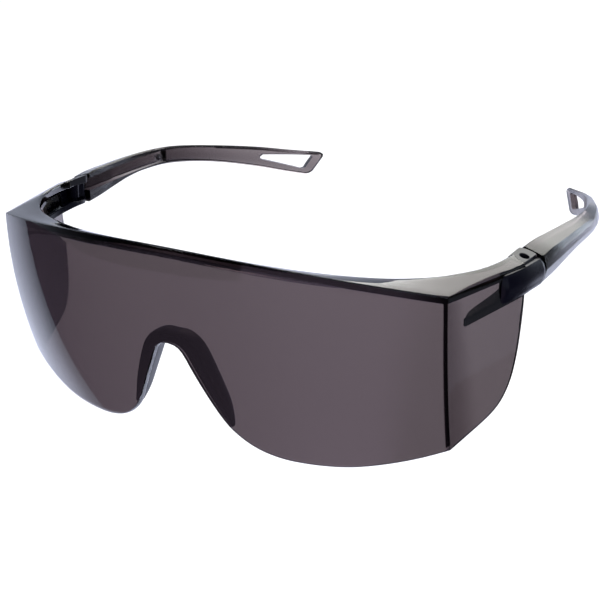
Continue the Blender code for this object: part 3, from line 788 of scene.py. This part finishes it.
def round_glow(tree, shader, table):
    """Painted reflection glow that depends on the direction from the object."""
    place = tree.nodes.new("ShaderNodeTexCoord")
    split = tree.nodes.new("ShaderNodeSeparateXYZ")
    angle = tree.nodes.new("ShaderNodeMath")
    angle.operation = 'ARCTAN2'
    share = tree.nodes.new("ShaderNodeMapRange")
    share.inputs["From Min"].default_value = -math.pi
    share.inputs["From Max"].default_value = math.pi
    ramp = tree.nodes.new("ShaderNodeFloatCurve")
    curve = ramp.mapping.curves[0]
    top = max(value for _, value in table)
    for k, (degrees, value) in enumerate(table):
        spot = ((degrees + 180) / 360, value / top)
        if k in (0, len(table) - 1):
            curve.points[0 if k == 0 else -1].location = spot
        else:
            curve.points.new(*spot)
    ramp.mapping.update()
    level = tree.nodes.new("ShaderNodeMath")
    level.operation = 'MULTIPLY'
    level.inputs[1].default_value = top
    tree.links.new(place.outputs["Object"], split.inputs["Vector"])
    tree.links.new(split.outputs["X"], angle.inputs[0])
    tree.links.new(split.outputs["Y"], angle.inputs[1])
    tree.links.new(angle.outputs["Value"], share.inputs["Value"])
    tree.links.new(share.outputs["Result"], ramp.inputs["Value"])
    tree.links.new(ramp.outputs["Value"], level.inputs[0])
    tree.links.new(level.outputs["Value"], shader.inputs["Emission Strength"])


def level(outline, height):
    return [(x, y, height) for x, y in outline]


def build_stage():
    """A pale floor that glows like a light table, and panels that only gloss sees: painted reflections that glow by
    direction, and near-black sheets of painted shade in the reflections.
    """
    floor = panel_material("pale_floor", FLOOR_GLOW, albedo=FLOOR_ALBEDO)[0]
    wide, far = 30.0, 8.0
    stage_panel("floor", level([(-wide, -wide), (wide, -wide), (wide, wide), (-wide, wide)], -FLOOR_DROP), floor)
    # Painted reflection: a bluish panel just above the floor that only gloss sees, glowing brighter or darker by
    # direction
    reflected, tree, shader = panel_material("painted_reflection_panel", 1.0, PAINTED_REFLECTION_TINT)
    round_glow(tree, shader, GLOW_ROUND)
    square = [(-far, -far), (far, -far), (far, far), (-far, far)]
    reflection_only(stage_panel("painted_reflection_panel", level(square, 0.005 - FLOOR_DROP), reflected))
    # Painted reflection: a pink-violet panel in front that only gloss sees, glowing by direction
    card, tree, shader = panel_material("front_painted_reflection", 1.0, (0.92, 0.7, 1.0))
    round_glow(tree, shader, FRONT_REFLECTION_ROUND)
    card_outline = [(-2.0, -0.05), (-0.51, -1.45), (-1.3, -3.67), (2.5, -3.67), (2.5, -0.05)]
    reflection_only(stage_panel("front_painted_reflection", level(card_outline, 0.010 - FLOOR_DROP), card))
    # Painted shade in reflections: near-black sheets that only gloss sees, one low under the right side and one
    # standing at the right, blocking no light and casting no shadow
    dark_reflection_material = panel_material("side_painted_dark_reflection", 0.02)[0]
    patch = [(0.02, 0.06), (0.15, 0.62), (0.55, 0.42), (0.3, -0.05)]
    reflection_only(stage_panel("painted_dark_reflection_patch", level(patch, 0.015 - FLOOR_DROP), dark_reflection_material))
    flag_plan = [(0.85, 1.45), (1.6, 0.1)]
    flag_corners = [(*flag_plan[0], -0.28), (*flag_plan[1], -0.28), (*flag_plan[1], 0.8), (*flag_plan[0], 0.8)]
    reflection_only(stage_panel("side_painted_dark_reflection", flag_corners, dark_reflection_material))


def softbox(name, location, target, size, radiance, colour):
    """A rectangular soft box of a given radiance."""
    data = bpy.data.lights.new(name, 'AREA')
    data.shape = 'RECTANGLE'
    data.size, data.size_y = size
    data.energy = radiance * math.pi * size[0] * size[1]
    data.color = colour
    light = bpy.data.objects.new(name, data)
    light.location = location
    aim = Vector(target) - Vector(location)
    light.rotation_euler = aim.to_track_quat('-Z', 'Y').to_euler()
    light.visible_camera = False
    bpy.context.scene.collection.objects.link(light)


AZIMUTH = math.radians(33.0)
ELEVATION = math.radians(18.32)
CAMERA_DISTANCE = 426.0
CAMERA_TARGET = (7.2, 33.8, -21.5)
FOCAL_WIDTHS = 1517.7 / 600


def build_camera():
    data = bpy.data.cameras.new("camera")
    data.sensor_width = 36.0
    data.lens = 36.0 * FOCAL_WIDTHS
    data.clip_start = 0.01
    camera = bpy.data.objects.new("camera", data)
    back = Vector((math.sin(AZIMUTH) * math.cos(ELEVATION), -math.cos(AZIMUTH) * math.cos(ELEVATION),
                   math.sin(ELEVATION)))
    target = (Vector(CAMERA_TARGET) + DATUM) * MM
    camera.location = target + back * CAMERA_DISTANCE * MM
    camera.rotation_euler = (-back).to_track_quat('-Z', 'Y').to_euler()
    bpy.context.scene.collection.objects.link(camera)
    bpy.context.scene.camera = camera


def build_world():
    """A pale cyclorama near the horizon that darkens overhead."""
    world = bpy.data.worlds.new("studio")
    world.use_nodes = True
    tree = world.node_tree
    place = tree.nodes.new("ShaderNodeTexCoord")
    split = tree.nodes.new("ShaderNodeSeparateXYZ")
    fade = tree.nodes.new("ShaderNodeMapRange")
    fade.inputs["From Min"].default_value = math.sin(math.radians(24))
    fade.inputs["From Max"].default_value = math.sin(math.radians(42))
    fade.inputs["To Min"].default_value = 0.7
    fade.inputs["To Max"].default_value = 0.2
    tree.links.new(place.outputs["Generated"], split.inputs["Vector"])
    tree.links.new(split.outputs["Z"], fade.inputs["Value"])
    tree.nodes["Background"].inputs["Color"].default_value = (0.76, 0.82, 1.0, 1)
    tree.links.new(fade.outputs["Result"], tree.nodes["Background"].inputs["Strength"])
    bpy.context.scene.world = world


# ------------------------------------------------------------------ materials

def new_material(name):
    material = bpy.data.materials.new(name)
    material.use_nodes = True
    return material, material.node_tree, material.node_tree.nodes["Principled BSDF"]


def grain(tree, shader, scale, low, high, bump_scale, bump):
    """Roughness that varies a little over the surface, and a very shallow ripple."""
    place = tree.nodes.new("ShaderNodeTexCoord")
    noise = tree.nodes.new("ShaderNodeTexNoise")
    noise.inputs["Scale"].default_value = scale
    noise.inputs["Detail"].default_value = 3
    spread = tree.nodes.new("ShaderNodeMapRange")
    spread.inputs["To Min"].default_value = low
    spread.inputs["To Max"].default_value = high
    tree.links.new(place.outputs["Object"], noise.inputs["Vector"])
    tree.links.new(noise.outputs["Fac"], spread.inputs["Value"])
    tree.links.new(spread.outputs["Result"], shader.inputs["Roughness"])
    ripple = tree.nodes.new("ShaderNodeTexNoise")
    ripple.inputs["Scale"].default_value = bump_scale
    height = tree.nodes.new("ShaderNodeBump")
    height.inputs["Strength"].default_value = bump
    height.inputs["Distance"].default_value = 0.00005
    tree.links.new(place.outputs["Object"], ripple.inputs["Vector"])
    tree.links.new(ripple.outputs["Fac"], height.inputs["Height"])
    tree.links.new(height.outputs["Normal"], shader.inputs["Normal"])


def smoke_glass(name, density, roughness=(0.02, 0.05)):
    """Clear smoke polycarbonate, darker the deeper the light goes through it."""
    material, tree, shader = new_material(name)
    shader.inputs["Base Color"].default_value = (1, 1, 1, 1)
    shader.inputs["Transmission Weight"].default_value = 1.0
    shader.inputs["IOR"].default_value = 1.58
    grain(tree, shader, 180, *roughness, 60, 0.03)
    absorb = tree.nodes.new("ShaderNodeVolumeAbsorption")
    absorb.inputs["Color"].default_value = (0.136, 0.056, 0.098, 1)
    absorb.inputs["Density"].default_value = density
    tree.links.new(absorb.outputs["Volume"], tree.nodes["Material Output"].inputs["Volume"])
    return material


def dark_plastic(name, colour, roughness, gloss):
    """Smoke plastic so thick that no light comes through."""
    material, tree, shader = new_material(name)
    shader.inputs["Base Color"].default_value = (*colour, 1)
    shader.inputs["IOR"].default_value = 1.58
    shader.inputs["Specular IOR Level"].default_value = gloss
    grain(tree, shader, 220, *roughness, 400, 0.05)
    return material


# ------------------------------------------------------------------ assembly

def build_lights():
    softbox("back_light", (-0.42, 1.375, 1.13), (0, 0, 0.05), (1.25, 0.85), 3.0, (1, 0.99, 0.93))
    softbox("right_light", (0.72, 1.62, 0.30), (0, 0, 0.05), (0.5, 0.7), 3.0, (0.78, 0.88, 1))
    softbox("left_light", (-1.4, -0.3, 0.5), (0, 0, 0.05), (0.6, 0.8), 0.8, (0.8, 0.88, 1))
    softbox("top_light", (0.1, -0.1, 1.4), (0, 0, 0.05), (0.8, 0.8), 0.8, (1, 1, 1))


def main():
    bpy.context.scene.view_settings.view_transform = 'Standard'
    visor = smoke_glass("visor_smoke_glass", 1190)
    thick = dark_plastic("thick_smoke_plastic", (0.003, 0.003, 0.009), (0.2, 0.3), 0.14)
    arms = smoke_glass("temple_smoke_glass", 820, (0.14, 0.24))
    strip = smoke_glass("slider_smoke_glass", 900, (0.08, 0.16))
    ears = dark_plastic("ear_smoke_plastic", (0.006, 0.006, 0.010), (0.25, 0.35), 0.4)
    pins = dark_plastic("pin_plastic", (0.004, 0.004, 0.009), (0.2, 0.35), 0.3)
    build_shell(visor)
    build_nose_rim(thick)
    for side, name in ((1, "left"), (-1, "right")):
        build_block(side, name, thick)
        build_ear(side, name, ears)
        build_shelf(side, name, thick)
        build_knuckle(side, name, thick)
        build_slider(side, name, strip)
        build_button(side, name, strip)
        build_pin(side, name, pins)
        build_temple(side, name, arms)
    build_stage()
    build_world()
    build_camera()
    build_lights()


main()
